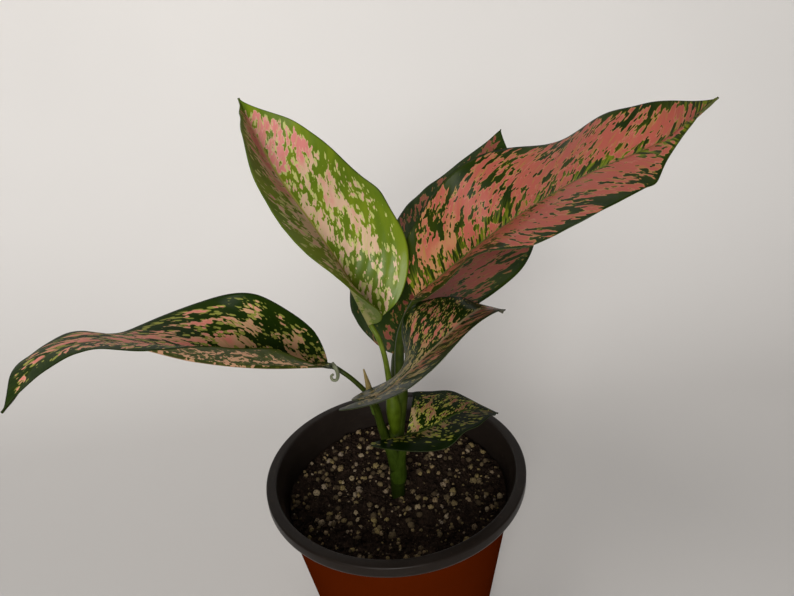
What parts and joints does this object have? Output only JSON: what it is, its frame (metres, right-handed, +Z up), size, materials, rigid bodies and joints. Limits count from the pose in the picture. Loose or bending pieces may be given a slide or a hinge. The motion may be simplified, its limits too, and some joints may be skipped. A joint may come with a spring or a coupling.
{
  "type": "potted chinese evergreen",
  "caption": "Small leafy house plant with pink and green spotted leaves on a short cane, in a tapered round nursery pot of soil. It rests on its base.",
  "frame": {"origin": "centre of the pot's underside, on the flat centre foot", "axes": "+Z up along the pot's axis, -Y towards the viewer, +X to the viewer's right"},
  "size_m": [0.2153, 0.167, 0.2685],
  "materials": {
    "pot": "satin terracotta-coloured plastic, dark grey-brown lip and inside",
    "soil": "dark damp peat with pale pumice and bark grains",
    "cane": "smooth dark green stem",
    "dry_sheath": "dry papery sheath",
    "stalk_young": "smooth bright green stalk",
    "stalk_green": "smooth green stalk with a pale groove",
    "leaf_young": "glossy yellow-green blade with pale pink blotches",
    "leaf_large": "glossy salmon pink blade with dark green streaks",
    "leaf_back": "glossy dark green blade with pink blotches",
    "leaf_left": "glossy dark green blade with pink and cream blotches",
    "leaf_front": "glossy dark green blade with small pink and cream specks",
    "leaf_low": "glossy dark green blade with pink and yellow-green specks"
  },
  "bodies": {
    "root": {"pot": "pot", "soil": "soil", "cane": "cane", "sheath_tip": "dry_sheath", "stalk_young": "stalk_young", "stalk_large": "stalk_green", "stalk_back": "stalk_green", "stalk_left": "stalk_green", "stalk_front": "stalk_green", "stalk_low": "stalk_green", "leaf_young": "leaf_young", "leaf_large": "leaf_large", "leaf_back": "leaf_back", "leaf_left": "leaf_left", "leaf_front": "leaf_front", "leaf_low": "leaf_low"}
  },
  "joints": []
}
